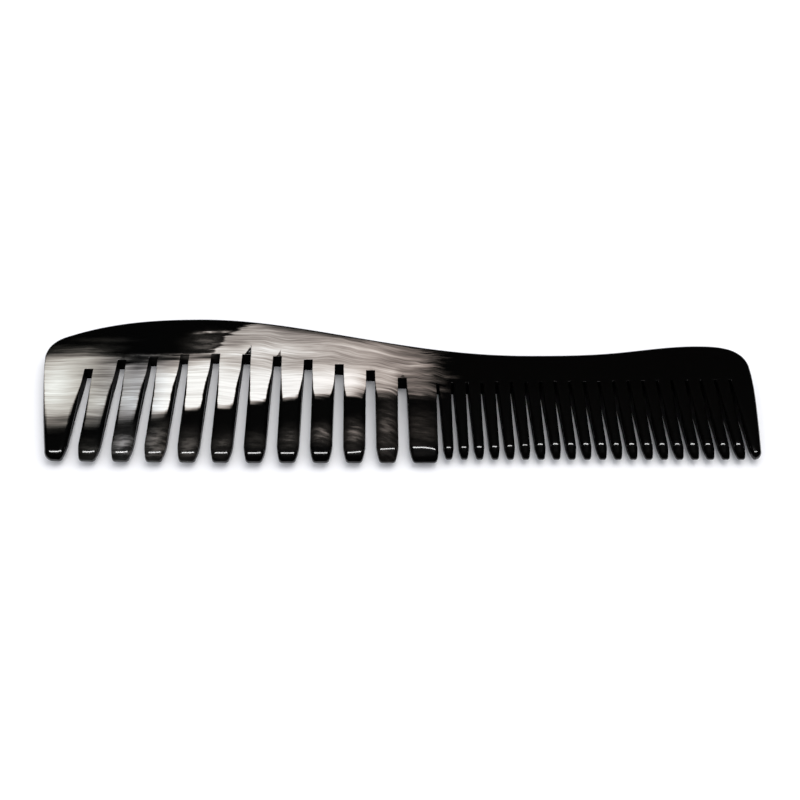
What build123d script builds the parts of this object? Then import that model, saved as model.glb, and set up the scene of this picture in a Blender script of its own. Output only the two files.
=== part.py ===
from build123d import *
import math
import os

# A hand-cut horn comb with wide teeth on one half and fine teeth on the other.
#
# Everything is in millimetres. The comb lies flat: +X runs along it, from the wide teeth to the fine
# teeth, +Y from the tips of the teeth to the back, and +Z up. The origin is under its middle.
# It is one piece: the teeth are sawn out of the same plate of horn that makes the back. The piece is
# shaped whole and then divided along the ends of its slots into its back, its wide teeth and its
# fine teeth, so that each tooth is a simple solid and the gaps between teeth stay open to collision.

# ---- driving dimensions: the plate ----
comb_length = 181.4
comb_width = 47.0
thickness = 4.45
wide_end_thickness = 3.6
fine_end_thickness = 4.2
thickest_from_fine_end = 62.7

# ---- driving dimensions: the back, which rises to a crest, dips to a waist and rises again ----
crest_from_wide_end = 38.7
waist_from_fine_end = 54.7
rise_from_fine_end = 12.0
waist_drop = 13.65
rise_drop = 10.1
fall_share = 0.54
climb_share = 0.32
wide_corner_radius = 7.0
wide_corner_drop = 13.0
fine_corner_radius = 6.5
fine_corner_drop = 16.8
wide_end_lean = 11.0
fine_end_lean = 7.0
wide_shoulder_angle = 116.0
fine_shoulder_angle = 70.0
foot_radius = 2.5
edge_radius = 0.7

# ---- driving dimensions: wide teeth ----
wide_slot_count = 11
wide_pitch = 8.0
wide_slot_width = 2.3
wide_mouth_width = 2.6
wide_mouth_flare = 1.7
wide_flare_length = 3.2
wide_end_tooth = 11.25
wide_spine_depth = 13.0
wide_root_crest_offset = 5.0
wide_root_radius = 136.0
first_slot_shortening = 1.5

# ---- driving dimensions: fine teeth ----
fine_pitch = 3.69
fine_slot_width = 0.8
fine_mouth_width = 1.4
fine_mouth_flare = 0.8
fine_flare_length = 1.8
fine_end_tooth = 5.8
fine_spine_depth = 10.05
fine_root_climb = 1.3
fine_tip_setback = 1.0
divider_width = 7.35

# ---- driving dimensions: how the teeth thin towards their tips ----
taper_length = 19.0
tip_thickness = 2.3
tip_lift = 0.9
belly_rise = 0.9
belly_teeth = 4

# ---- what follows from them ----
x_wide_end = -comb_length / 2
x_fine_end = comb_length / 2
y_tip = -comb_width / 2
y_crest = comb_width / 2

crest = (x_wide_end + crest_from_wide_end, y_crest)
waist = (x_fine_end - waist_from_fine_end, y_crest - waist_drop)
rise = (x_fine_end - rise_from_fine_end, y_crest - rise_drop)
fall = ((crest[0] + waist[0]) / 2, y_crest - fall_share * waist_drop)
climb = ((waist[0] + rise[0]) / 2, waist[1] + climb_share * (waist_drop - rise_drop))
wide_corner = (x_wide_end + wide_corner_radius, y_crest - wide_corner_drop)
fine_corner = (x_fine_end - fine_corner_radius, y_crest - fine_corner_drop)

wide_first_x = x_wide_end + wide_end_tooth + wide_slot_width / 2
wide_last_x = wide_first_x + (wide_slot_count - 1) * wide_pitch
fine_first_x = wide_last_x + wide_slot_width / 2 + divider_width + fine_slot_width / 2
fine_room = x_fine_end - fine_end_tooth - fine_slot_width / 2 - fine_first_x
fine_slot_count = 1 + math.floor(fine_room / fine_pitch)

wide_root_x = crest[0] + wide_root_crest_offset
wide_root_y = y_crest - wide_spine_depth
fine_root_y = waist[1] - fine_spine_depth
fine_root_slope = fine_root_climb / fine_room
fine_tip_y = y_tip + fine_tip_setback
thickest_x = x_fine_end - thickest_from_fine_end
blank_margin = 1.0
blank_thickness = thickness + blank_margin
blank_ends = (x_wide_end - blank_margin, x_fine_end + blank_margin)
taper_top_slope = (thickness - tip_lift - tip_thickness) / taper_length
taper_runs_out = y_tip + (blank_thickness - tip_lift - tip_thickness) / taper_top_slope


def on_circle(centre, radius, degrees):
    """The point of a circle at an angle from +X."""
    angle = math.radians(degrees)
    return (centre[0] + radius * math.cos(angle), centre[1] + radius * math.sin(angle))


def along_circle(degrees):
    """The direction of travel at that point, going round clockwise."""
    angle = math.radians(degrees)
    return (math.sin(angle), -math.cos(angle))


def down_the_end(start, lean, y_end):
    """Where an end of the comb, leaning by some degrees from +Y, reaches a height."""
    return (start[0] + (y_end - start[1]) * math.tan(math.radians(lean)), y_end)


def wide_slot_root(x):
    """How far up a wide slot is sawn: an arc that runs under the crest of the back."""
    return wide_root_y - (x - wide_root_x) ** 2 / (2 * wide_root_radius)


def beyond(ridge, edge):
    """The point where a straight fall from the face's ridge to an end of the comb leaves the blank."""
    run_on = 1 + blank_margin / abs(edge[0] - ridge[0])
    return (ridge[0] + run_on * (edge[0] - ridge[0]), ridge[1] + run_on * (edge[1] - ridge[1]))


def slot_end_corners(root_x, root_y, root_width):
    """The two corners of a slot's square end."""
    return [(root_x - root_width / 2, root_y), (root_x + root_width / 2, root_y)]


def slot_corners(x, root_y, root_width, mouth_width, flare, flare_length):
    """The corners of a saw slot with a square end, whose mouth is filed wider on both sides."""
    mouth_y = y_tip + flare_length
    open_y = mouth_y - 2 * flare_length
    open_width = mouth_width + 2 * flare
    return slot_end_corners(x, root_y, root_width) + [
        (x + mouth_width / 2, mouth_y),
        (x + open_width / 2, open_y),
        (x - open_width / 2, open_y),
        (x - mouth_width / 2, mouth_y),
    ]


# where the back curve and the two ends begin and stop
wide_side = on_circle(wide_corner, wide_corner_radius, 180 + wide_end_lean)
wide_top = on_circle(wide_corner, wide_corner_radius, wide_shoulder_angle)
fine_top = on_circle(fine_corner, fine_corner_radius, fine_shoulder_angle)
fine_side = on_circle(fine_corner, fine_corner_radius, -fine_end_lean)
wide_foot = down_the_end(wide_side, -wide_end_lean, y_tip + belly_rise)
fine_foot = down_the_end(fine_side, fine_end_lean, fine_tip_y)
wide_turn = wide_shoulder_angle - 180 - wide_end_lean
fine_turn = -fine_shoulder_angle - fine_end_lean
belly_x = wide_last_x - belly_teeth * wide_pitch
level = (1, 0)


def is_foot(corner):
    """True for the outline's two corners at the tips of the end teeth."""
    return min(math.dist((corner.X, corner.Y), foot) for foot in (wide_foot, fine_foot)) < edge_radius / 10


def is_side(face):
    """True for the faces that run round the plate, but not for the small step in the line of the tips."""
    on_step = abs(face.center().X - fine_first_x) < edge_radius / 10
    return abs(face.normal_at().Z) < edge_radius / 10 and not on_step


def is_rim_edge(edge):
    """True for an edge of such a face that runs along the plate rather than through its thickness."""
    return edge.bounding_box().size.Z < tip_thickness * 3 / 4


# ---- the slots: where each one ends and how far it is sawn ----
wide_slots = []
for index in range(wide_slot_count):
    x = wide_first_x + index * wide_pitch
    wide_slots.append((x, wide_slot_root(x) - (first_slot_shortening if index == 0 else 0)))
fine_slots = []
for index in range(fine_slot_count):
    along = index * fine_pitch
    fine_slots.append((fine_first_x + along, fine_root_y + fine_root_slope * along))

# the teeth hang below a line through the ends of their slots
below_tips = y_tip - blank_margin
wide_zone = [(blank_ends[0], below_tips), (blank_ends[0], wide_slots[0][1])]
for x, root_y in wide_slots:
    wide_zone += slot_end_corners(x, root_y, wide_slot_width)
wide_zone += [(fine_first_x, fine_root_y), (fine_first_x, below_tips)]
fine_zone = [(fine_first_x, below_tips), (fine_first_x, fine_root_y)]
for x, root_y in fine_slots:
    fine_zone += slot_end_corners(x, root_y, fine_slot_width)
fine_zone += [(blank_ends[1], fine_slots[-1][1]), (blank_ends[1], below_tips)]

# ---- the whole comb ----
with BuildPart() as whole:
    # the plate's outline, seen from above
    with BuildSketch() as outline:
        with BuildLine():
            Line(wide_foot, wide_side)
            CenterArc(wide_corner, wide_corner_radius, 180 + wide_end_lean, wide_turn)
            Spline(wide_top, crest, tangents=[along_circle(wide_shoulder_angle), level])
            Spline(crest, fall, waist, tangents=[level, level])
            Spline(waist, climb, rise, tangents=[level, level])
            Spline(rise, fine_top, tangents=[level, along_circle(fine_shoulder_angle)])
            CenterArc(fine_corner, fine_corner_radius, fine_shoulder_angle, fine_turn)
            Line(fine_side, fine_foot)
            Line(fine_foot, (fine_first_x, fine_tip_y))
            Line((fine_first_x, fine_tip_y), (fine_first_x, y_tip))
            Line((fine_first_x, y_tip), (belly_x, y_tip))
            Line((belly_x, y_tip), wide_foot)
        make_face()
        fillet(outline.vertices().filter_by(is_foot), radius=foot_radius)
    extrude(amount=blank_thickness)

    # its thickness along the comb: a flat underside and a face that falls gently to both ends
    ridge = (thickest_x, thickness)
    wide_fall = beyond(ridge, (x_wide_end, wide_end_thickness))
    fine_fall = beyond(ridge, (x_fine_end, fine_end_thickness))
    with BuildSketch(Plane.XZ):
        with BuildLine():
            Polyline(wide_fall, ridge, fine_fall, (fine_fall[0], 0), (wide_fall[0], 0), close=True)
        make_face()
    extrude(amount=comb_width, both=True, mode=Mode.INTERSECT)

    # the wedge that thins the teeth towards their tips, ground on both faces
    with BuildSketch(Plane.YZ):
        with BuildLine():
            Polyline(
                (y_crest, 0),
                (y_tip + taper_length, 0),
                (y_tip, tip_lift),
                (y_tip, tip_lift + tip_thickness),
                (taper_runs_out, blank_thickness),
                (y_crest, blank_thickness),
                close=True,
            )
        make_face()
    extrude(amount=comb_length, both=True, mode=Mode.INTERSECT)

    # every outer edge rounded over, round the back, the ends and the noses of the teeth
    rim_edges = whole.faces().filter_by(is_side).edges().filter_by(is_rim_edge)
    fillet(rim_edges, radius=edge_radius)

    # the saw slots between the teeth
    with BuildSketch():
        for x, root_y in wide_slots:
            corners = slot_corners(
                x, root_y, wide_slot_width, wide_mouth_width, wide_mouth_flare, wide_flare_length
            )
            Polygon(*corners, align=None)
        for x, root_y in fine_slots:
            corners = slot_corners(
                x, root_y, fine_slot_width, fine_mouth_width, fine_mouth_flare, fine_flare_length
            )
            Polygon(*corners, align=None)
    extrude(amount=blank_thickness, mode=Mode.SUBTRACT)

# ---- the back ----
with BuildPart() as back:
    add(whole.part)
    with BuildSketch():
        Polygon(*wide_zone, align=None)
        Polygon(*fine_zone, align=None)
    extrude(amount=blank_thickness, mode=Mode.SUBTRACT)
back.part.label = "back"

# ---- the wide teeth, with the end tooth and the broad one beside the fine teeth ----
with BuildPart() as wide_teeth:
    add(whole.part)
    with BuildSketch():
        Polygon(*wide_zone, align=None)
    extrude(amount=blank_thickness, mode=Mode.INTERSECT)
wide_teeth.part.label = "wide_teeth"

# ---- the fine teeth, with their end tooth ----
with BuildPart() as fine_teeth:
    add(whole.part)
    with BuildSketch():
        Polygon(*fine_zone, align=None)
    extrude(amount=blank_thickness, mode=Mode.INTERSECT)
fine_teeth.part.label = "fine_teeth"

os.makedirs("parts", exist_ok=True)
for piece in (back, wide_teeth, fine_teeth):
    export_step(piece.part, f"parts/{piece.part.label}.step")
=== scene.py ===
# %% [markdown]
# # A hand-cut horn comb
# This lesson dresses a comb that is sawn, filed and polished from one plate of black buffalo horn.
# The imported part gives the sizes. Here the same comb is worked out again as one fine surface, because
# a maker's file leaves soft edges and blunt noses that catch the light, and horn shows streaks.

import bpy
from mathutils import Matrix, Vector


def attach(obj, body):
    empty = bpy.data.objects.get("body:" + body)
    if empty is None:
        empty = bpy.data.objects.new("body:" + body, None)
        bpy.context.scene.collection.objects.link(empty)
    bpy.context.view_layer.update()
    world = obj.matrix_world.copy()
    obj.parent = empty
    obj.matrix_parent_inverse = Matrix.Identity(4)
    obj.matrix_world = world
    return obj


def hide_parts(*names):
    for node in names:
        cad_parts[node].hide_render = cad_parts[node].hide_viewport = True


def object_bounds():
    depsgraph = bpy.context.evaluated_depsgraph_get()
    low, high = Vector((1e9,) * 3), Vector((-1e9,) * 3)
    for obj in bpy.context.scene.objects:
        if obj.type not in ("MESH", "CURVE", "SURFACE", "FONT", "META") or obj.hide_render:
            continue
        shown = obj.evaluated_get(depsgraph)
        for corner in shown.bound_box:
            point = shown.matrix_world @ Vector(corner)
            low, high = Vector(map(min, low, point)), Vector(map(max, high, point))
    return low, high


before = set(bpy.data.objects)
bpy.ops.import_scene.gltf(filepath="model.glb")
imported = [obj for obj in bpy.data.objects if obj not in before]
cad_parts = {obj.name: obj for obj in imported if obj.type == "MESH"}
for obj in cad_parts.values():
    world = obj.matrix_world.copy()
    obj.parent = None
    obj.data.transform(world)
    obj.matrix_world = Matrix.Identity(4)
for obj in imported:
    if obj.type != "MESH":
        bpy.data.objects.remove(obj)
cad_low, cad_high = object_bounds()

# %% The modules and the unit
import math

import bpy
import numpy as np

MM = 0.001
left_x, tip_y, _ = np.array(cad_low) / MM
right_x, back_y, face_z = np.array(cad_high) / MM
print("length, width, thickness in mm:", right_x - left_x, back_y - tip_y, face_z)

# %% [markdown]
# ## The plate's outline
# The back of the comb rises to a crest, dips to a waist and rises again, and both ends lean in and
# meet it in a round corner. A Bezier curve could draw it, but a comb needs its height asked for at any
# place, so the back is a function of x: cubic pieces that meet with the same slope.

# %% The back curve
CREST_X, WAIST_X, RISE_X = left_x + 38.7, right_x - 57.0, right_x - 12.0
WAIST_DROP, RISE_DROP = 13.65, 10.1
CREST_UP, FALL_SHARE, CLIMB_SHARE = 0.2, 0.515, 0.27
WIDE_CORNER, WIDE_CORNER_R = np.array([left_x + 7.0, back_y - 12.6]), 7.0
FINE_CORNER, FINE_CORNER_R = np.array([right_x - 6.4, back_y - 17.1]), 6.4
WIDE_SHOULDER, FINE_SHOULDER = math.radians(116.0), math.radians(70.0)
WIDE_LEAN, FINE_LEAN = math.radians(11.0), math.radians(7.0)


def on_arc(centre, radius, angle):
    """Points of a circle: its centre plus the radius times the cosine and sine of the angle."""
    angle = np.asarray(angle, float)
    return np.stack([centre[0] + radius * np.cos(angle), centre[1] + radius * np.sin(angle)], -1)


def cubic_through(x, knots, heights, slopes):
    """A height at x on cubic pieces. Each piece is the Hermite blend of its two ends' heights and slopes."""
    piece = np.clip(np.searchsorted(knots, x) - 1, 0, len(knots) - 2)
    run = knots[piece + 1] - knots[piece]
    t = (x - knots[piece]) / run
    start = (1 + 2 * t) * (1 - t) ** 2 * heights[piece] + t * (1 - t) ** 2 * run * slopes[piece]
    end = t**2 * (3 - 2 * t) * heights[piece + 1] + t**2 * (t - 1) * run * slopes[piece + 1]
    return start + end


def free_slope(knots, heights, middle):
    """The slope at a middle knot that keeps the bend even where the slopes at the knots beside it are level.

    It is three halves of the rises over their runs squared, over the sum of one over each run.
    """
    before, after = knots[middle] - knots[middle - 1], knots[middle + 1] - knots[middle]
    rise_before, rise_after = heights[middle] - heights[middle - 1], heights[middle + 1] - heights[middle]
    return 1.5 * (rise_before / before**2 + rise_after / after**2) / (1 / before + 1 / after)


print("crest, waist and last rise at:", round(CREST_X, 2), round(WAIST_X, 2), round(RISE_X, 2))

# %% Its knots, joined up
wide_top = on_arc(WIDE_CORNER, WIDE_CORNER_R, WIDE_SHOULDER)
fine_top = on_arc(FINE_CORNER, FINE_CORNER_R, FINE_SHOULDER)
waist_y, rise_y = back_y - WAIST_DROP, back_y - RISE_DROP
knot_x = np.array([
    wide_top[0], CREST_X, (CREST_X + WAIST_X) / 2, WAIST_X, (WAIST_X + RISE_X) / 2, RISE_X, fine_top[0],
])
knot_y = np.array([
    wide_top[1], back_y + CREST_UP, back_y - FALL_SHARE * WAIST_DROP, waist_y,
    waist_y + CLIMB_SHARE * (WAIST_DROP - RISE_DROP), rise_y, fine_top[1],
])
knot_slope = np.array([-1 / math.tan(WIDE_SHOULDER), 0.0, 0.0, 0.0, 0.0, 0.0, -1 / math.tan(FINE_SHOULDER)])
knot_slope[2] = free_slope(knot_x, knot_y, 2)
knot_slope[4] = free_slope(knot_x, knot_y, 4)


def back_height(x):
    """The back's height at x: the round corner's circle past each shoulder, the cubic pieces between them."""
    between = cubic_through(np.clip(x, knot_x[0], knot_x[-1]), knot_x, knot_y, knot_slope)
    wide_arc = WIDE_CORNER[1] + np.sqrt(np.clip(WIDE_CORNER_R**2 - (x - WIDE_CORNER[0]) ** 2, 0, None))
    fine_arc = FINE_CORNER[1] + np.sqrt(np.clip(FINE_CORNER_R**2 - (x - FINE_CORNER[0]) ** 2, 0, None))
    return np.where(x < knot_x[0], wide_arc, np.where(x > knot_x[-1], fine_arc, between))


print("back height over the waist:", round(float(back_height(np.array(WAIST_X))), 2))

# %% The two leaning ends
wide_side = on_arc(WIDE_CORNER, WIDE_CORNER_R, math.pi + WIDE_LEAN)
fine_side = on_arc(FINE_CORNER, FINE_CORNER_R, -FINE_LEAN)
SWELL = 0.4


def swell(y, side_y):
    """How far an end swells out at a height: half a sine wave between its corner and its tip."""
    return SWELL * np.sin(math.pi * np.clip((side_y - y) / (side_y - tip_y), 0, 1))


def wide_end_x(y):
    """The wide end's x at a height: its lean's tangent times the way down from its corner, less its swell."""
    return wide_side[0] + (wide_side[1] - y) * math.tan(WIDE_LEAN) - swell(y, wide_side[1])


def fine_end_x(y):
    """The fine end's x at a height: the same, leaning the other way."""
    return fine_side[0] - (fine_side[1] - y) * math.tan(FINE_LEAN) + swell(y, fine_side[1])


print("ends at tip height:", round(float(wide_end_x(tip_y)), 2), round(float(fine_end_x(tip_y)), 2))

# %% [markdown]
# ## The saw slots
# Eleven wide slots and twenty-one fine ones are sawn from the tips towards the back. Each has
# straight walls and a square end, and a file opens its mouth so that the teeth end in blunt noses.
# Booleans could cut them from a plate, but a surface whose columns follow the teeth stays clean.

# %% Where each slot stands and how far it is sawn
WIDE_COUNT, WIDE_PITCH, WIDE_SLOT, WIDE_MOUTH = 11, 8.0, 2.3, 2.6
FINE_COUNT, FINE_PITCH, FINE_SLOT, FINE_MOUTH = 21, 3.69, 0.8, 1.25
END_TOOTH, DIVIDER = 11.25, 7.35
# the wide slots end on a large circle, the first one short of it, and the fine ones on a rising line
WIDE_DEPTH, WIDE_TOP_X, WIDE_END_R, FIRST_SHORTER = 13.0, CREST_X + 5.0, 136.0, 1.5
FINE_DEPTH, FINE_RISE, FINE_NARROWING = 10.05, 1.3, 0.2
wide_x = left_x + END_TOOTH + WIDE_SLOT / 2 + WIDE_PITCH * np.arange(WIDE_COUNT)
fine_x = wide_x[-1] + WIDE_SLOT / 2 + DIVIDER + FINE_SLOT / 2 + FINE_PITCH * np.arange(FINE_COUNT)
slot_x = np.concatenate([wide_x, fine_x])
is_wide = np.arange(slot_x.size) < WIDE_COUNT
wide_end_y = back_y - WIDE_DEPTH - (wide_x - WIDE_TOP_X) ** 2 / (2 * WIDE_END_R)
wide_end_y[0] -= FIRST_SHORTER
fine_share = (slot_x - fine_x[0]) / (fine_x[-1] - fine_x[0])
fine_end_y = waist_y - FINE_DEPTH + FINE_RISE * fine_share[WIDE_COUNT:]
slot_y = np.concatenate([wide_end_y, fine_end_y])
end_half = np.where(is_wide, WIDE_SLOT, FINE_SLOT) / 2
mouth_half = np.where(is_wide, WIDE_MOUTH, FINE_MOUTH - FINE_NARROWING * fine_share) / 2
flare_length = np.where(is_wide, 4.8, 3.2)
flare_width = np.where(is_wide, 0.85, 0.50)
print("slots:", slot_x.size, "first and last at", round(slot_x[0], 2), round(slot_x[-1], 2))

# %% The tips' line and the slots' widths
BELLY, BELLY_FROM, BELLY_TO, FINE_TIPS_UP = 0.6, slot_x[6], left_x + 6, 1.0


def tip_line(x):
    """The tips' height: level, higher along the fine teeth, and rising to the wide end as a power of 1.5."""
    belly = BELLY * np.clip((BELLY_FROM - x) / (BELLY_FROM - BELLY_TO), 0, 1) ** 1.5
    return tip_y + belly + np.where(x > fine_x[0], FINE_TIPS_UP, 0.0)


def slot_half_width(slot, y, tip):
    """Half a slot's width at a height: it opens evenly to the mouth, then its file cut curves it open."""
    up = np.clip((y - tip) / (slot_y[slot] - tip), 0, 1)
    straight = mouth_half[slot] + (end_half[slot] - mouth_half[slot]) * up
    flare = flare_width[slot] * np.clip(1 - (y - tip) / flare_length[slot], 0, 1) ** 1.5
    return straight + flare


print("wide slots open to", 2 * (mouth_half[0] + flare_width[0]), "mm at the tips")

# %% [markdown]
# ## Columns and rows
# Every tooth gets columns of points from its left wall to its right wall, crowded at the walls where
# the edge is rounded over, and every slot gets a few columns that exist only above its end. The rows
# run from the tips up to the ends of the slots and on to the back, crowded where the surface turns.

# %% Columns across the teeth and slots
EDGE_STEPS = np.array([0.0, 0.05, 0.14, 0.28, 0.46, 0.70, 0.98])
SQUEEZED_BELOW, SPACING = 2.6, 0.75
WIDE_GAPS = np.array([0.06, 0.3, 0.6, 0.85, 1.1, 1.35, 1.6, 1.85, 2.1, 2.24]) / WIDE_SLOT
FINE_GAPS = np.array([0.1, 0.5, 0.9])


def tooth_columns(width):
    """Places from 0 to 1 across a tooth: set steps in from both walls, then even spaces between them."""
    steps = EDGE_STEPS * min(1.0, width / SQUEEZED_BELOW)
    middle = max(2, int(round((width - 2 * steps[-1]) / SPACING)))
    inner = np.linspace(steps[-1], width - steps[-1], middle + 1)[1:-1]
    return np.concatenate([steps, inner, width - steps[::-1]]) / width


tooth_count = slot_x.size + 1
walls = np.concatenate([[wide_end_x(slot_y[0])], slot_x, [fine_end_x(slot_y[-1])]])
column_tooth, column_share, column_slot = [], [], []
for tooth in range(tooth_count):
    left_half = end_half[tooth - 1] if tooth else 0.0
    right_half = end_half[tooth] if tooth < slot_x.size else 0.0
    shares = tooth_columns(walls[tooth + 1] - walls[tooth] - left_half - right_half)
    column_tooth += [tooth] * shares.size
    column_share += list(shares)
    column_slot += [-1] * shares.size
    if tooth < slot_x.size:
        gaps = WIDE_GAPS if is_wide[tooth] else FINE_GAPS
        column_tooth += [-1] * gaps.size
        column_share += list(gaps)
        column_slot += [tooth] * gaps.size
column_tooth, column_slot = np.array(column_tooth), np.array(column_slot)
column_share = np.array(column_share)
in_tooth = column_tooth >= 0
print("columns:", column_share.size, "of them in teeth:", int(in_tooth.sum()))

# %% Rows up the teeth and over the back
TIP_STEPS = np.array([0.0, 0.07, 0.18, 0.34, 0.55, 0.8, 1.1, 1.45, 1.85, 2.3, 2.7, 3.05, 3.4, 3.9, 4.6])
TOOTH_ROWS = 24
ROOT_STEPS = np.array([0.0, 0.06, 0.16, 0.30, 0.48, 0.72, 1.05, 1.5, 2.0, 2.6])
RIM_STEPS = np.array([0.0, 0.05, 0.14, 0.27, 0.44, 0.66, 0.95, 1.3])
MIDDLE_ROWS = 20


def tooth_rise(height):
    """Rises above the tip for each row: set steps near the tip, then even spaces up to the slot's end."""
    even = np.linspace(0, 1, TOOTH_ROWS + 1)[1:, None]
    near_tip = TIP_STEPS[:, None] + 0 * height
    return np.concatenate([near_tip, near_tip[-1] + (height - near_tip[-1]) * even])


def back_share(height):
    """Shares of the way from the slots' ends to the back for each row, crowded at both of them."""
    even = np.linspace(0, 1, MIDDLE_ROWS + 2)[1:-1, None]
    lower = ROOT_STEPS[:, None] / height
    upper = 1 - RIM_STEPS[::-1, None] / height
    return np.concatenate([lower, lower[-1] + (upper[0] - lower[-1]) * even, upper])


rows_above = ROOT_STEPS.size + MIDDLE_ROWS + RIM_STEPS.size
print("rows:", TIP_STEPS.size + TOOTH_ROWS, "up the teeth,", rows_above, "above")

# %% Where the columns meet the line through the slots' ends
# that line is level over each slot and straight between them
edge_x = np.stack([slot_x - end_half, slot_x + end_half], 1).ravel()
edge_y = np.repeat(slot_y, 2)
low_x, high_x = float(wide_end_x(slot_y[0])), float(fine_end_x(slot_y[-1]))
left_wall = np.concatenate([[low_x], slot_x + end_half])
right_wall = np.concatenate([slot_x - end_half, [high_x]])
root_x = np.where(
    in_tooth,
    left_wall[column_tooth] + column_share * (right_wall - left_wall)[column_tooth],
    slot_x[column_slot] + (2 * column_share - 1) * end_half[column_slot],
)
root_y = np.interp(root_x, edge_x, edge_y)
print("first and last column:", round(root_x[0], 2), round(root_x[-1], 2))

# %% [markdown]
# ## The back as a patch
# Between the line through the slots' ends and the back curve, the points run straight from one to
# the other. At the two ends that straight run is bent to follow the leaning end and its round corner,
# and the bend fades out a short way into the comb.

# %% The back patch
ARC_MIDDLE_WIDE = (WIDE_SHOULDER + math.pi + WIDE_LEAN) / 2
ARC_MIDDLE_FINE = (FINE_SHOULDER - FINE_LEAN) / 2
FADE_POWER = 24


def along_end(share, foot, side, centre, radius, side_angle, middle_angle):
    """A leaning end from the slots' line up to the middle of its corner: a straight run, then an arc."""
    straight = np.hypot(*(side - foot))
    arc = radius * abs(middle_angle - side_angle)
    gone = share * (straight + arc)
    on_line = foot + (side - foot) * np.clip(gone / straight, 0, 1)[:, None]
    turned = side_angle + (middle_angle - side_angle) * np.clip((gone - straight) / arc, 0, 1)
    return np.where((gone <= straight)[:, None], on_line, on_arc(centre, radius, turned))


print("corners split at", np.degrees([ARC_MIDDLE_WIDE, ARC_MIDDLE_FINE]).round(), "degrees")

# %% Its points, bent to the two ends
top_left = on_arc(WIDE_CORNER, WIDE_CORNER_R, ARC_MIDDLE_WIDE)
top_right = on_arc(FINE_CORNER, FINE_CORNER_R, ARC_MIDDLE_FINE)
across = (root_x - low_x) / (high_x - low_x)
top_x = top_left[0] + across * (top_right[0] - top_left[0])
top_y = back_height(top_x)
share = back_share(top_y - root_y)
back_px = root_x + share * (top_x - root_x)
back_py = root_y + share * (top_y - root_y)
wide_end = (wide_side, WIDE_CORNER, WIDE_CORNER_R, math.pi + WIDE_LEAN, ARC_MIDDLE_WIDE)
fine_end = (fine_side, FINE_CORNER, FINE_CORNER_R, -FINE_LEAN, ARC_MIDDLE_FINE)
for column, fade, end in ((0, (1 - across) ** FADE_POWER, wide_end), (-1, across**FADE_POWER, fine_end)):
    foot = np.array([root_x[column], root_y[column]])
    target = along_end(share[:, column], foot, *end)
    back_px = back_px + fade * (target[:, :1] - back_px[:, [column]])
    back_py = back_py + fade * (target[:, 1:] - back_py[:, [column]])
print("back patch:", back_px.shape)

# %% The teeth below it
tips = tip_line(root_x)
rise = tooth_rise(root_y - tips)
tooth_py = tips + rise
left_slot, right_slot = np.clip(column_tooth - 1, 0, None), np.clip(column_tooth, 0, slot_x.size - 1)
WIDE_FOOT_R, FINE_FOOT_R = 2.0, 1.5
CORNER_TURN = 0.96


def end_round(y, tip, radius):
    """How far an end tooth's outer wall is drawn in near its foot, to round it: a quarter circle."""
    return radius * (1 - np.sqrt(1 - np.clip(1 - (y - tip) / radius, 0, 1) ** 2))


def nose_round(y, tip, radius):
    """How far a tooth's walls are drawn in at its tip: nearly all of a quarter circle, seen from above."""
    return radius * (1 - np.sqrt(1 - CORNER_TURN * np.clip(1 - (y - tip) / radius, 0, 1) ** 2))


corner_radius = np.where(root_x < fine_x[0], 0.75, 0.50)
drawn_in = nose_round(tooth_py, tips, corner_radius)
left_edge = np.where(
    column_tooth == 0,
    wide_end_x(tooth_py) + end_round(tooth_py, tips, WIDE_FOOT_R),
    slot_x[left_slot] + slot_half_width(left_slot, tooth_py, tips) + drawn_in,
)
right_edge = np.where(
    column_tooth == tooth_count - 1,
    fine_end_x(tooth_py) - end_round(tooth_py, tips, FINE_FOOT_R),
    slot_x[right_slot] - slot_half_width(right_slot, tooth_py, tips) - drawn_in,
)
tooth_px = left_edge + column_share * (right_edge - left_edge)
print("teeth:", tooth_px.shape)

# %% One sheet
# the teeth's rows below and the back's rows above share the row at the slots' ends
sheet_x = np.concatenate([tooth_px[:-1], back_px])
sheet_y = np.concatenate([tooth_py[:-1], back_py])
present = np.ones(sheet_x.shape, bool)
present[: tooth_px.shape[0] - 1, ~in_tooth] = False
print("sheet:", sheet_x.shape, "points:", int(present.sum()))

# %% [markdown]
# ## Faces of the sheet and its rim
# Four neighbouring points that all exist make a face. The edges that only one face uses are the rim:
# round the comb and in and out of every slot. They give the walls between the two faces of the comb,
# and they give each point its distance from the nearest edge, which the rounding over needs.

# %% Number the points and find the rim
number = np.full(present.shape, -1)
number[present] = np.arange(int(present.sum()))
corners = np.stack([number[:-1, :-1], number[:-1, 1:], number[1:, 1:], number[1:, :-1]], -1).reshape(-1, 4)
sheet_faces = corners[(corners >= 0).all(1)]
px, py = sheet_x[present], sheet_y[present]
edges = np.concatenate([sheet_faces[:, [a, (a + 1) % 4]] for a in range(4)])
key = np.sort(edges, 1)
_, first, uses = np.unique(key, axis=0, return_index=True, return_counts=True)
rim = edges[first[uses == 1]]
print("faces in the sheet:", len(sheet_faces), "rim edges:", len(rim))

# %% How far each point is from an edge
BLOCK = 2000


def distance_to_rim(x, y, ends_a, ends_b):
    """The least distance from each point to the rim's straight pieces, a block of points at a time."""
    ax, ay = ends_a
    bx, by = ends_b
    dx, dy = bx - ax, by - ay
    length2 = np.maximum(dx**2 + dy**2, 1e-12)
    nearest = np.empty(x.size)
    for block in np.array_split(np.arange(x.size), 1 + x.size // BLOCK):
        gx, gy = x[block, None] - ax, y[block, None] - ay
        t = np.clip((gx * dx + gy * dy) / length2, 0, 1)
        nearest[block] = np.sqrt(((gx - t * dx) ** 2 + (gy - t * dy) ** 2).min(1))
    return nearest


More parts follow.
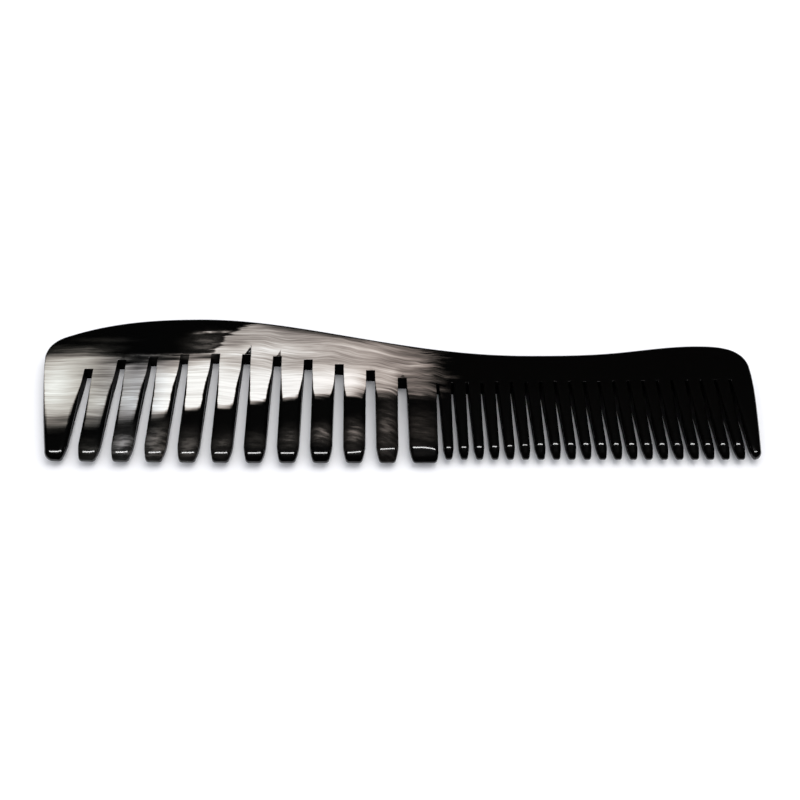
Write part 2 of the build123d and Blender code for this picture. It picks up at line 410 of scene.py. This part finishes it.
rim_start, rim_end = rim[:, 0], rim[:, 1]
edge_gap = distance_to_rim(px, py, (px[rim_start], py[rim_start]), (px[rim_end], py[rim_end]))
print("farthest point from an edge:", round(float(edge_gap.max()), 2), "mm")

# %% [markdown]
# ## The two faces
# The plate is thickest past its middle and thins to both ends. The teeth are ground to a wedge from
# both faces, the tips are bevelled and end in blunt noses, and every edge is rounded over by file and
# buffing wheel. The files also ran out past a few slots and left small nicks in the face.

# %% Height of the plain face
RIDGE_X, WIDE_END_Z, FINE_END_Z = right_x - 62.7, 3.6, 4.2
TIP_LIFT, TIP_THICKNESS, UNDER_WEDGE = 0.9, 2.3, 19.0
GRIND_POWER = 1.15
# how far below the plain face the pale face reaches: its horn streaks and painted reflection are kept only
# that close to the plain face
PALE_DEPTH = 0.09
# where, along the comb, the grinding has just cut below the pale face, so the painted reflection ends on the
# teeth
LINE_X = np.array([-90.0, -82.0, -74.0, -66.0, -58.0, -50.0, -42.0, -34.0, -26.0, -18.0, -10.0, 0.0, 10.0])
LINE_Y = np.array([-12.0, -10.9, -10.4, -9.8, -9.3, -8.3, -7.5, -5.7, -4.5, -4.2, -3.6, -3.0, -4.0])


def smooth(a, b, x):
    """A soft step from 0 at a to 1 at b: three t squared less two t cubed."""
    t = np.clip((x - a) / (b - a), 0, 1)
    return t * t * (3 - 2 * t)


def plain_face(x):
    """The face before grinding: straight falls from the thickest place to both ends."""
    return np.interp(x, [left_x, RIDGE_X, right_x], [WIDE_END_Z, face_z, FINE_END_Z])


print("plate:", WIDE_END_Z, "mm,", round(face_z, 2), "mm and", FINE_END_Z, "mm thick")

# %% The grinding of the teeth from both faces
above_tip = py - tip_line(px)
taken = plain_face(px) - TIP_LIFT - TIP_THICKNESS
line_above_tip = np.interp(px, LINE_X, LINE_Y) - tip_line(px)
# the wedge starts above that line, by as much as its curve needs to fall the pale face's depth on it
wedge_start = line_above_tip / (1 - (PALE_DEPTH / taken) ** (1 / GRIND_POWER))
ground = taken * np.clip(1 - above_tip / wedge_start, 0, 1) ** GRIND_POWER
under_ground = TIP_LIFT * np.clip(1 - above_tip / UNDER_WEDGE, 0, 1) ** GRIND_POWER
print("the wedge starts from", round(float(wedge_start.min()), 1), "mm above the tips")

# %% Nicks where the file ran out past a slot's end
# slot number: how far the nick runs, how deep it is, and where its point lies from the slot's middle
NICKS = {
    2: (3.2, 0.09, 0.3), 3: (3.0, 0.09, 0.3), 4: (2.6, 0.08, 0.4), 5: (2.0, 0.06, 0.3),
    6: (3.5, 0.60, 1.0), 7: (3.1, 0.11, 0.9), 10: (2.4, 0.05, 0.0), 11: (2.3, 0.10, 0.3),
}
NICK_HALF, NICK_EDGE, NICK_REACH = 0.9, 0.35, 1.4
nicks = np.zeros(px.size)
for slot_number, (reach, deep, lean) in NICKS.items():
    up = np.clip((py - slot_y[slot_number - 1]) / reach, 0, 1)
    from_middle = px - slot_x[slot_number - 1]
    # the nick narrows to a point as it runs up, and leans over on the way
    inside = NICK_HALF * (1 - up) - np.abs(from_middle - lean * (0.35 + 0.65 * up))
    over_slot = (up > 0) & (np.abs(from_middle) < NICK_REACH)
    nicks += np.where(over_slot, deep * smooth(0.0, NICK_EDGE, inside), 0)
print("deepest nick:", round(float(nicks.max()), 2), "mm")

# %% Bevelled tips and blunt noses
BEVEL_SLOPE, UNDER_SHARE = 0.20, 0.4
NOSE_LENGTH, NOSE_TURN = 1.2, 0.8
# the bevel is short on the wide teeth, long on the widest and the fine ones, and missing on the last
BEVEL_X = [-12.0, -2.3, 6.5, 12.0, 24.0, 36.0, 84.3, 84.5]
bevel_length = np.interp(px, BEVEL_X, [2.0, 3.2, 3.65, 2.5, 2.75, 3.6, 3.6, -1.0])
# its crease is softer on the wide teeth, so that its glint is broader there
crease = np.interp(px, [8.0, 12.0, 70.0, 82.0], [0.75, 0.48, 0.42, 0.30])
past_crease = np.clip(bevel_length + crease / 2 - above_tip, 0, None)
bevel = BEVEL_SLOPE * np.where(past_crease < crease, past_crease**2 / (2 * crease), past_crease - crease / 2)
top_z = plain_face(px) - ground - bevel
under_z = under_ground + UNDER_SHARE * bevel
middle_z, half_z = (top_z + under_z) / 2, (top_z - under_z) / 2
nose = np.clip(1 - above_tip / NOSE_LENGTH, 0, 1)
half_z = half_z * np.sqrt(1 - NOSE_TURN * nose**2)
print("half a tip's thickness:", round(float(half_z.min()), 2), "mm")

# %% Where the edges are worn
over_slots = py - np.interp(px, edge_x, edge_y)
outer_rim = smooth(1.0, 4.0, over_slots)
worn = smooth(0.5, -15.0, over_slots)
# across each tooth: -1 at its left wall, 1 at its right wall
column_middle = np.broadcast_to(np.where(in_tooth, 2 * column_share - 1, 0.0), present.shape)[present]
outer_wall = ((px < slot_x[0]) & (column_middle < 0)) | ((px > slot_x[-1]) & (column_middle > 0))
# the file took more from the right-hand edge of each wide tooth than from the left-hand one
right_hand = (column_middle > 0) & (px < fine_x[0])
wear = np.where(right_hand, smooth(-2.5, -13.0, over_slots), worn)
print("rim round the back:", int((outer_rim * (edge_gap < 0.01) > 0.5).sum()), "points")

# %% Rounded edges
SHARP, FINE_TIP_EDGE, WIDE_TIP_EDGE, RIGHT_EXTRA = 0.001, 0.95, 1.05, 0.15
BACK_EDGE, END_EDGE, MOST = 0.7, 0.45, 0.85
SCRAPE_DEPTH, SCRAPE_BAND = 0.32, 2.1


def rounded_over(gap, radius):
    """How far a rounded edge lies below the face at a distance from the edge: a quarter circle."""
    return radius * (1 - np.sqrt(1 - np.clip(1 - gap / radius, 0, 1) ** 2))


wide_tip_edge = WIDE_TIP_EDGE + RIGHT_EXTRA * smooth(0.2, 0.8, column_middle)
tip_edge = np.where(px < fine_x[0], wide_tip_edge, FINE_TIP_EDGE)
edge_radius = SHARP + (tip_edge - SHARP) * wear + BACK_EDGE * outer_rim
edge_radius = edge_radius + np.where(outer_wall, END_EDGE, 0.0) * (1 - wear) * (1 - outer_rim)
edge_radius = np.minimum(edge_radius, MOST * half_z)
edge_fall = rounded_over(edge_gap, edge_radius)
# the back was scraped down a little over a broader band, deep enough to take off the pale face, so no painted
# reflection shows along it
scraped = SCRAPE_DEPTH * np.clip(1 - edge_gap / SCRAPE_BAND, 0, 1) ** 2 * smooth(3.0, 7.0, over_slots)
top_z = middle_z + half_z - edge_fall - nicks - scraped
under_z = middle_z - half_z + edge_fall
below_face = plain_face(px) - top_z
print("thinnest place:", round(float((top_z - under_z).min()), 2), "mm")

# %% Make the mesh
count = px.size
top_points = np.stack([px, py, top_z], 1)
under_points = np.stack([px, py, under_z], 1)
wall_faces = np.stack([rim[:, 1], rim[:, 0], rim[:, 0] + count, rim[:, 1] + count], 1)
faces = np.concatenate([sheet_faces, sheet_faces[:, ::-1] + count, wall_faces])


def make_piece(name, points, quads):
    """A mesh object from points in millimetres and four-cornered faces, smooth shaded, at the origin."""
    mesh = bpy.data.meshes.new(name)
    mesh.vertices.add(len(points))
    mesh.vertices.foreach_set("co", (points * MM).astype(np.float32).ravel())
    mesh.loops.add(quads.size)
    mesh.loops.foreach_set("vertex_index", quads.astype(np.int32).ravel())
    mesh.polygons.add(len(quads))
    mesh.polygons.foreach_set("loop_start", np.arange(0, quads.size, 4, dtype=np.int32))
    mesh.polygons.foreach_set("use_smooth", np.ones(len(quads), bool))
    mesh.update(calc_edges=True)
    mesh.validate()
    made = bpy.data.objects.new(name, mesh)
    bpy.context.scene.collection.objects.link(made)
    return made


comb = make_piece("comb", np.concatenate([top_points, under_points]), faces)
print("comb:", len(comb.data.vertices), "points,", 2 * len(comb.data.polygons), "triangles")

# %% Mark the walls that keep the saw's matt surface
# the walls inside the slots, from a little above the tips to the slots' ends, are also shaded flat
NEAR, POLISHED_TIP = 0.1, 1.5
rim_x, rim_y = px[rim].mean(1), py[rim].mean(1)
rim_tip = tip_line(rim_x)
nearest_slot = np.abs(rim_x[:, None] - slot_x).argmin(1)
from_slot = np.abs(rim_x - slot_x[nearest_slot])
inside_slot = from_slot < slot_half_width(nearest_slot, rim_y, rim_tip) + NEAR
inside_slot &= (rim_y > rim_tip + POLISHED_TIP) & (rim_y < slot_y[nearest_slot] + NEAR)
sawn = np.concatenate([np.zeros(2 * len(sheet_faces)), inside_slot])
comb.data.attributes.new("sawn", "FLOAT", "FACE").data.foreach_set("value", sawn.astype(np.float32))
comb.data.polygons.foreach_set("use_smooth", sawn < 0.5)
print("sawn walls:", int(sawn.sum()), "faces")

# %% Check that it is closed
loops = np.concatenate([faces[:, [a, (a + 1) % 4]] for a in range(4)])
_, uses = np.unique(np.sort(loops, 1), axis=0, return_counts=True)
print("edges not shared by exactly two faces:", int((uses != 2).sum()))

# %% [markdown]
# ## What the face shows
# The plate is black horn. Part of its face is pale: the horn's own streaks together with a painted reflection
# of an overhead soft box, laid on as a thin pale layer. Wherever the plate was ground or rounded deeper than
# that layer, the painted reflection stops and the black shows. So each point carries how far it lies below
# the plain face, and how far it is from the curved border where the painted reflection ends.

# %% Where the pale face and its painted reflection stop
BORDER = np.array([
    (-95.0, 9.6), (-88.0, 10.9), (-80.0, 11.6), (-74.0, 10.0), (-66.0, 7.4), (-60.0, 8.6), (-55.0, 9.8),
    (-50.0, 10.4), (-47.0, 11.0), (-45.5, 14.0), (-44.0, 17.4), (-40.0, 20.2), (-34.0, 22.6), (-26.0, 27.0),
    (95.0, 90.0),
])
BORDER_X, BORDER_Y = BORDER.T
border_y = np.interp(px, BORDER_X, BORDER_Y)
border_slope = np.interp(px, BORDER_X, np.gradient(BORDER_Y, BORDER_X))
to_border = (border_y - py) / np.sqrt(1 + border_slope**2)
# the painted reflection fades out slowly at the wide end and at the widest tooth, and stops short in between
soft = np.clip(1 - smooth(-70.0, -52.0, px) + 0.6 * smooth(-10.0, 0.0, px), 0, 1)
print("border over the comb's ends:", round(float(border_y.min()), 1), round(float(border_y.max()), 1))


# %% How pale it is
def patch(x, y, half_x, half_y):
    """A soft round patch: e to the power of minus the squares of x and y over its two half widths."""
    return np.exp(-(((px - x) / half_x) ** 2) - ((py - y) / half_y) ** 2)


def stroke(x0, x1, y0, y1, half):
    """A thin streak: e to the power of minus the square of the distance from its line, its ends faded."""
    on_it = y0 + (y1 - y0) * (px - x0) / (x1 - x0)
    faded = smooth(x0 - 1, x0 + 2, px) * (1 - smooth(x1 - 2, x1 + 1, px))
    return np.exp(-(((py - on_it) / half) ** 2)) * faded


# each patch of the horn's streaks and the painted reflection: how much paler or darker, its middle's x and y,
# its half width and half height
PALE_PATCHES = [
    (0.26, -86, -1, 6, 9), (-0.14, -74, 5, 3.6, 5), (0.10, -74, -6, 3, 3),
    (0.10, -66, -5, 3.6, 4), (-0.10, -66, 5, 3, 3), (-0.10, -58, 6, 3, 3),
    (0.18, -38, 11, 9, 3), (0.14, -27, 12, 8, 2.2), (0.18, -48, 6.5, 6, 3),
    (-0.14, -20, 18, 14, 3), (-0.10, -24, 6.5, 5, 1.5), (-0.12, -42, 14.5, 4, 2.5),
    (-0.13, -16, -2.5, 5, 1.6), (-0.26, -8, -3, 3.4, 1.8),
    (0.12, -2, 2, 3, 2.5), (-0.12, -2, -3, 3, 1.5), (-0.10, -2, 7.5, 4, 3),
    (0.12, 6.5, 6, 3, 1.3), (-0.14, 6, 10.5, 4, 2.2),
]
PALE, WHITER, DULL_TOOTH, DULL_MIDDLE, DULL_BACK = 0.66, 0.28, 0.16, 0.10, 0.30
STREAKY, LESS_ON_WHITE, LESS_AT_END = 0.28, 0.17, 0.12
in_teeth = 1 - smooth(2.0, 8.0, py)
# painted reflection: the wide teeth between about -65 and -4 mm are painted whiter, where the soft box's
# reflection is brightest
reflecting_teeth = smooth(-65, -57, px) * (1 - smooth(-12, -4, px)) * in_teeth
pale = PALE + WHITER * reflecting_teeth + sum(amount * patch(*where) for amount, *where in PALE_PATCHES)
# the painted reflection is duller on the widest tooth and towards it, and painted shade darkens it along the
# back's edge
pale -= DULL_TOOTH * smooth(-1, 2, px) * (1 - smooth(3.5, 6.5, py)) + DULL_MIDDLE * smooth(-6, 4, px)
pale -= DULL_BACK * smooth(2.8, 0.8, edge_gap) * smooth(3.0, 7.0, over_slots) * smooth(-44, -30, px)
# a pale streak low on the widest tooth, and a dark one above the slots at the wide end
pale += 0.30 * stroke(3, 10, -4.0, -4.0, 0.3) - 0.70 * stroke(-71, -45.5, 7.2, 9.3, 0.45)
# how strongly the grain shows
strength = STREAKY - LESS_ON_WHITE * reflecting_teeth - LESS_AT_END * (1 - smooth(-82, -72, px))
print("paleness from", round(float(pale.min()), 2), "to", round(float(pale.max()), 2))

# %% What shows in the black
# faint patches on the ground teeth: how strong, x, height above the tips, half width and half height
CORE_PATCHES = [
    (0.14, -74, 3, 3, 2.5), (0.38, -66, 4.5, 3.0, 4.0), (0.30, -58, 5, 3.0, 5.0), (0.20, -50, 4, 2.6, 4),
    (0.16, -42, 4.5, 2.4, 3.5), (0.11, -34, 5, 2.4, 3), (0.20, -26, 6, 2.2, 3), (0.44, -18.3, 7.3, 1.9, 2.3),
    (0.36, -10.3, 7.5, 2.0, 3.4), (0.24, -2.3, 9, 2.2, 8), (0.14, 6.2, 9, 3.4, 5),
]
# and pale streaks and patches in the black of the back
core = sum(amount * patch(x, tip_y + up, *half) for amount, x, up, *half in CORE_PATCHES)
core += 0.72 * stroke(-53, -43, 18.1, 18.4, 0.32) + 0.30 * stroke(-69, -45.5, 9.9, 10.3, 0.4)
core += 0.07 * patch(-76, 15.6, 7, 0.9) + 0.24 * patch(-49, 14, 4.5, 3.5) + 0.08 * patch(-76, 12.5, 5, 1.5)
print("marks in the black up to", round(float(core.max()), 2))

# %% Where the grain bows across a tooth
BOW = 0.5
ringed = smooth(-40, -30, px) * (px < fine_x[0])
bow = BOW * column_middle**2 * ringed * smooth(0.0, -3.0, over_slots)
print("the grain bows by up to", round(float(bow.max()), 2), "mm")

# %% Store these measures on the comb
def add_measure(piece, name, top_values, under_value):
    """A number on every point: the given values on the upper face, one value on the underside."""
    values = np.concatenate([top_values, np.full(top_values.size, under_value)]).astype(np.float32)
    piece.data.attributes.new(name, "FLOAT", "POINT").data.foreach_set("value", values)
    print(name, "from", round(float(top_values.min()), 2), "to", round(float(top_values.max()), 2))


# the underside counts as far below the face and far outside the border, so it is black
add_measure(comb, "below_face", below_face, 4.0)
add_measure(comb, "to_border", to_border, -9.0)
for name, values in (("pale", pale), ("strength", strength), ("core", core), ("bow", bow), ("soft", soft)):
    add_measure(comb, name, values, 0.0)

# %% [markdown]
# ## Colours and nodes
# Colours are written as they look on a display, and one function turns them to the linear values that
# light is reckoned in. One more function adds a node, sets its values and joins its inputs.

# %% Two helpers
def linear(code):
    """An sRGB hex colour as linear values: the lower part over 12.92, the rest to the power of 2.4."""
    part = np.array([int(code[i : i + 2], 16) for i in (1, 3, 5)]) / 255
    return (*np.where(part <= 0.04045, part / 12.92, ((part + 0.055) / 1.055) ** 2.4), 1.0)


def node(tree, kind, settings, *values, out=0, stops=(), **named):
    """Adds a node, sets it, gives its inputs values or links in their order or by name, returns an output."""
    made = tree.nodes.new("ShaderNode" + kind)
    for name, setting in settings.items():
        setattr(made, name, setting)
    while stops and len(made.color_ramp.elements) < len(stops):
        made.color_ramp.elements.new(0.5)
    for number, (place, code) in enumerate(stops):
        made.color_ramp.elements[number].position = place
        made.color_ramp.elements[number].color = linear(code)
    by_name = [(made.inputs[name.replace("_", " ")], value) for name, value in named.items()]
    for socket, value in list(zip(made.inputs, values)) + by_name:
        if isinstance(value, bpy.types.NodeSocket):
            tree.links.new(value, socket)
        elif value is not None:
            socket.default_value = value
    return made.outputs[out] if made.outputs else made


print("mid grey #808080 is", round(float(linear("#808080")[0]), 3), "in linear light")

# %% [markdown]
# ## Polished buffalo horn
# Horn is keratin that grew in thin sheets, so its grain runs along the comb as fine wavy streaks. The
# comb was filed, scraped and buffed to a gloss. Its index of refraction is about 1.54. Streaks on a
# real plate are about 0.2 to 0.5 mm across and a few centimetres long, and the noise is scaled to that.

# %% The horn material
horn = bpy.data.materials.new("polished_buffalo_horn")
horn.use_nodes = True
tree = horn.node_tree
tree.nodes.clear()
SUM, SOFT_STEP = {"operation": "MULTIPLY_ADD"}, {"interpolation_type": "SMOOTHSTEP"}
place = node(tree, "TexCoord", {}, out="Object")
x_here = node(tree, "SeparateXYZ", {}, place, out="X")
y_here = node(tree, "SeparateXYZ", {}, place, out="Y")
z_here = node(tree, "SeparateXYZ", {}, place, out="Z")
measure = {
    name: node(tree, "Attribute", {"attribute_name": name}, out="Fac")
    for name in ("below_face", "to_border", "pale", "strength", "core", "bow", "soft", "sawn")
}
print("measures read by the horn:", sorted(measure))

# %% The grain's own coordinates
# the grain dips past the middle of the comb, sways a little everywhere and bows across some teeth
sway = node(tree, "TexNoise", {}, Vector=place, Scale=70.0, Detail=2.0, Roughness=0.5)
sway_size = node(tree, "MapRange", SOFT_STEP, x_here, -0.050, -0.020, 0.0015, 0.0055)
dip = node(tree, "MapRange", SOFT_STEP, x_here, -0.024, 0.014, -0.0025, 0.0045)
dipped_y = node(tree, "Math", {"operation": "ADD"}, y_here, dip)
swayed_y = node(tree, "Math", SUM, sway, sway_size, dipped_y)
bent_y = node(tree, "Math", SUM, measure["bow"], MM, swayed_y)
bent = node(tree, "CombineXYZ", {}, x_here, bent_y, z_here)


def streaks(along, across, detail=3.0, roughness=0.6):
    """Noise stretched along the comb: one streak is about so many millimetres long and across."""
    scaled = node(tree, "Mapping", {}, Vector=bent, Scale=(1000 / along, 1000 / across, 1000 / across))
    return node(tree, "TexNoise", {}, Vector=scaled, Scale=1.0, Detail=detail, Roughness=roughness)


fine_grain = streaks(12.0, 0.50)
broad_grain = streaks(26.0, 2.0)
print("streaks: 0.5 and 2.0 mm across")

# %% How much of the pale face and its painted reflection is left at each place
# its depth wavers about 0.12 mm, and what the grinding and rounding took is subtracted from it
broad_part = node(tree, "Math", SUM, broad_grain, 0.10, PALE_DEPTH - 0.05)
thickness = node(tree, "Math", SUM, fine_grain, 0.06, broad_part)
left_over = node(tree, "Math", {"operation": "SUBTRACT"}, thickness, measure["below_face"])
thin_by = node(tree, "Math", SUM, measure["soft"], -0.11, -0.02)
thick_by = node(tree, "Math", SUM, measure["soft"], 0.05, 0.06)
on_face = node(tree, "MapRange", SOFT_STEP, left_over, thin_by, thick_by, 0.0, 1.0)
print("pale layer:", PALE_DEPTH, "mm thick")

# %% Where the pale face with its painted reflection ends in the plate
# both noises lie round a half, so their sum less 3.5 swings the border a few millimetres either way
broad_ragged = node(tree, "Math", SUM, broad_grain, 4.5, -3.5)
ragged = node(tree, "Math", SUM, fine_grain, 2.5, broad_ragged)
border_reach = node(tree, "Math", {"operation": "ADD"}, measure["to_border"], ragged)
faint_by = node(tree, "Math", SUM, measure["soft"], -2.6, -0.4)
full_by = node(tree, "Math", SUM, measure["soft"], 3.2, 0.7)
inside_border = node(tree, "MapRange", SOFT_STEP, border_reach, faint_by, full_by, 0.0, 1.0)
feathered_x = node(tree, "Math", SUM, streaks(9.0, 1.0), 0.018, x_here)
before_end = node(tree, "MapRange", SOFT_STEP, feathered_x, 0.023, 0.014, 0.0, 1.0)
kept = node(tree, "Math", {"operation": "MULTIPLY"}, inside_border, before_end)
pale_share = node(tree, "Math", {"operation": "MULTIPLY"}, on_face, kept)
print("nodes so far:", len(tree.nodes))

# %% Paleness, from black to white
# both noises lie round a half, so their sum less 2.15 swings evenly about nought
broad_tone = node(tree, "Math", SUM, broad_grain, 1.7, -2.15)
grain_tone = node(tree, "Math", SUM, fine_grain, 2.6, broad_tone)
pale_tone = node(tree, "Math", SUM, grain_tone, measure["strength"], measure["pale"])
rings = node(tree, "MapRange", SOFT_STEP, streaks(5.0, 1.3), 0.34, 0.70, 0.40, 1.5)
core_tone = node(tree, "Math", SUM, measure["core"], rings, 0.015)
# where the pale share is high the colour is the pale face, the horn's streaks with a painted soft-box
# reflection; elsewhere the black horn
tone = node(tree, "Mix", {"data_type": "FLOAT"}, pale_share, None, core_tone, pale_tone)
shades = node(tree, "ValToRGB", {}, tone, stops=(
    (0.02, "#040404"), (0.16, "#262422"), (0.31, "#4E4A47"), (0.47, "#746D69"),
    (0.63, "#9B948F"), (0.78, "#C0BAB5"), (0.90, "#DEDCD9"), (0.97, "#F2F1EF"),
))
print("shades from black to near white ready")

# %% Its tint along the comb: greenish cream, then bluish, then warm
along = node(tree, "MapRange", {}, x_here, float(left_x) * MM, 0.014, 0.0, 1.0)
tint = node(tree, "ValToRGB", {}, along, stops=(
    (0.00, "#FDFFF8"), (0.13, "#FBFFF8"), (0.24, "#F1FAFF"), (0.33, "#FFFFFA"),
    (0.60, "#FFFEFA"), (0.80, "#FFF9F3"), (1.00, "#FFF7F0"),
))
# the colour inputs of this node are its seventh and eighth, after six for its other kinds of value
multiply = {"data_type": "RGBA", "blend_type": "MULTIPLY"}
horn_colour = node(tree, "Mix", multiply, 1.0, *[None] * 5, shades, tint, out=2)
print("tint from", round(float(left_x)), "mm to 14 mm along the comb")

# %% Its gloss
# the scraper and the buffing wheel leave faint lengthwise waves, about 0.02 mm deep, and the slots'
# walls keep the dull surface that the saw left
scrape = node(tree, "Bump", {}, Strength=0.10, Distance=0.00002, Height=streaks(30.0, 0.6))
dullness = node(tree, "MapRange", {}, measure["sawn"], 0.0, 1.0, 0.10, 0.55)
shine = node(tree, "MapRange", {}, measure["sawn"], 0.0, 1.0, 0.50, 0.03)
gloss = node(
    tree, "BsdfPrincipled", {}, Base_Color=horn_colour, Roughness=dullness, IOR=1.54,
    Specular_IOR_Level=shine, Normal=scrape,
)
node(tree, "OutputMaterial", {}, gloss)
comb.data.materials.append(horn)
print("horn nodes:", len(tree.nodes))

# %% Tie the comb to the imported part
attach(comb, "root")
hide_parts("back", "wide_teeth", "fine_teeth")
print("the comb stands in for the back and both sets of teeth")

# %% [markdown]
# ## The floor
# The comb lies on a plain white sheet that is lit until it is pure white. A square of four points is
# enough for it, with a matt white paint.

# %% Floor
span = 1500.0
grid_x, grid_y = np.meshgrid(np.array([-span, span]), np.array([-span, span]))
floor_points = np.stack([grid_x.ravel(), grid_y.ravel(), np.zeros(4)], 1)
floor = make_piece("floor", floor_points, np.array([[0, 1, 3, 2]]))
paper = bpy.data.materials.new("matt_white_paper")
paper.use_nodes = True
paper_gloss = paper.node_tree.nodes["Principled BSDF"]
paper_gloss.inputs["Base Color"].default_value = linear("#FAFAFA")
paper_gloss.inputs["Roughness"].default_value = 0.9
paper_gloss.inputs["Specular IOR Level"].default_value = 0.0
floor.data.materials.append(paper)
print("floor:", 2 * span * MM, "m square")

# %% [markdown]
# ## Light
# A bright even room whitens the sheet, and the gaps between the teeth grow darker the narrower and
# deeper they are. A soft box overhead adds a short soft shadow. Black gloss shows whatever it mirrors,
# so the room and the box are hidden from mirror rays, and one narrow strip light, which only mirror
# rays see, gives each tip its crisp white glint.

# %% Lights
def area_light(name, place, size_x, size_y, watts, colour):
    """A rectangular light that faces the origin: tilted by y over its distance, then turned by x over z."""
    lamp = bpy.data.lights.new(name, "AREA")
    lamp.shape = "RECTANGLE"
    lamp.size, lamp.size_y = size_x, size_y
    lamp.energy, lamp.color = watts, colour
    made = bpy.data.objects.new(name, lamp)
    made.location = place
    away = np.array(place) / np.linalg.norm(place)
    made.rotation_euler = (math.asin(-away[1]), math.atan2(away[0], away[2]), 0)
    bpy.context.scene.collection.objects.link(made)
    return made


soft_box = area_light("soft_box", (0.28, 0.30, 0.95), 0.9, 0.9, 4.4, (1.0, 0.98, 0.95))
soft_box.visible_glossy = False
strip = area_light("strip", (0.0, 0.30, 0.95), 0.9, 0.075, 5.2, (1.0, 1.0, 1.0))
strip.visible_diffuse = False
world = bpy.data.worlds.new("studio")
bpy.context.scene.world = world
world.use_nodes = True
world.node_tree.nodes["Background"].inputs[0].default_value = (0.93, 0.945, 1.0, 1.0)
world.node_tree.nodes["Background"].inputs[1].default_value = 0.96
world.cycles_visibility.glossy = False
bpy.context.scene.view_settings.view_transform = "Standard"
print("lights:", soft_box.data.energy, "W soft box and", strip.data.energy, "W strip")

# %% [markdown]
# ## Camera
# The camera looks down at the comb from the side of the tips, 41 degrees from straight above, with a
# lens a little short of 50 mm.

# %% Camera
camera = bpy.data.objects.new("camera", bpy.data.cameras.new("camera"))
bpy.context.scene.collection.objects.link(camera)
camera.data.lens = 47.33
camera.data.sensor_width = 36.0
camera.data.shift_x = 0.04125
camera.data.clip_start = 0.01
camera.location = (-7.2 * MM, -177.1 * MM, 201.4 * MM)
camera.rotation_euler = (math.radians(41.0), 0, 0)
bpy.context.scene.camera = camera
print("camera lens:", camera.data.lens, "mm")
